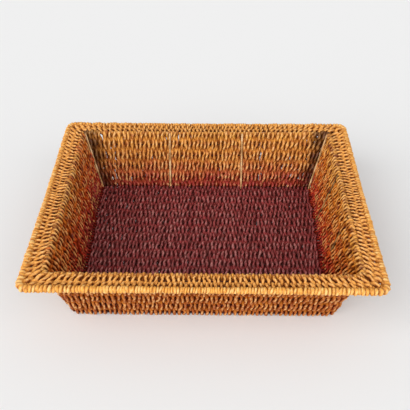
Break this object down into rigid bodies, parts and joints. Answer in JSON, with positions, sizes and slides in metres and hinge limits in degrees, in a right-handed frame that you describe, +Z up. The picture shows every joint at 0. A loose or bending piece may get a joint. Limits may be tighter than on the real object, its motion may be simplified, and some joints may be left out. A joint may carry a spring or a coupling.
{
  "type": "woven serving tray",
  "caption": "Rectangular tray of woven seagrass on a wire frame, with leaning walls and a broad flat rim rolled at its edge.",
  "frame": {"origin": "middle of the tray's underside, on the plane it stands on", "axes": "+X along the longer walls, +Y to the back wall of the picture, +Z up"},
  "size_m": [0.45, 0.386, 0.095],
  "materials": {
    "frame": "olive brown lacquer, dull, on round steel rod",
    "floor_weave": "twisted seagrass cord dyed burgundy",
    "wall_weave": "twisted seagrass cord dyed red at the floor, through orange to gold at the rim",
    "rim_weave": "twisted seagrass cord dyed golden ochre",
    "rim_binding": "twisted seagrass cord dyed golden ochre, wound closely"
  },
  "bodies": {
    "root": {"base_ring": "frame", "rim_inner_ring": "frame", "rim_outer_ring": "frame", "post_back_left": "frame", "spoke_back_left": "frame", "post_back_right": "frame", "spoke_back_right": "frame", "post_corner_back_right": "frame", "spoke_corner_back_right": "frame", "post_right_back": "frame", "spoke_right_back": "frame", "post_right_front": "frame", "spoke_right_front": "frame", "post_corner_front_right": "frame", "spoke_corner_front_right": "frame", "post_front_right": "frame", "spoke_front_right": "frame", "post_front_left": "frame", "spoke_front_left": "frame", "post_corner_front_left": "frame", "spoke_corner_front_left": "frame", "post_left_front": "frame", "spoke_left_front": "frame", "post_left_back": "frame", "spoke_left_back": "frame", "post_corner_back_left": "frame", "spoke_corner_back_left": "frame", "wall_wire_1": "frame", "wall_wire_2": "frame", "wall_wire_3": "frame", "wall_wire_4": "frame", "rim_wire_1": "frame", "rim_wire_2": "frame", "floor_wire_01": "frame", "floor_wire_02": "frame", "floor_wire_03": "frame", "floor_wire_04": "frame", "floor_wire_05": "frame", "floor_wire_06": "frame", "floor_wire_07": "frame", "floor_wire_08": "frame", "floor_wire_09": "frame", "floor_wire_10": "frame", "floor_wire_11": "frame", "floor_wire_12": "frame", "floor_wire_13": "frame", "floor_wire_14": "frame", "floor_weave": "floor_weave", "wall_weave_back": "wall_weave", "rim_weave_back": "rim_weave", "rim_binding_back": "rim_binding", "wall_weave_right": "wall_weave", "rim_weave_right": "rim_weave", "rim_binding_right": "rim_binding", "wall_weave_front": "wall_weave", "rim_weave_front": "rim_weave", "rim_binding_front": "rim_binding", "wall_weave_left": "wall_weave", "rim_weave_left": "rim_weave", "rim_binding_left": "rim_binding"}
  },
  "joints": []
}
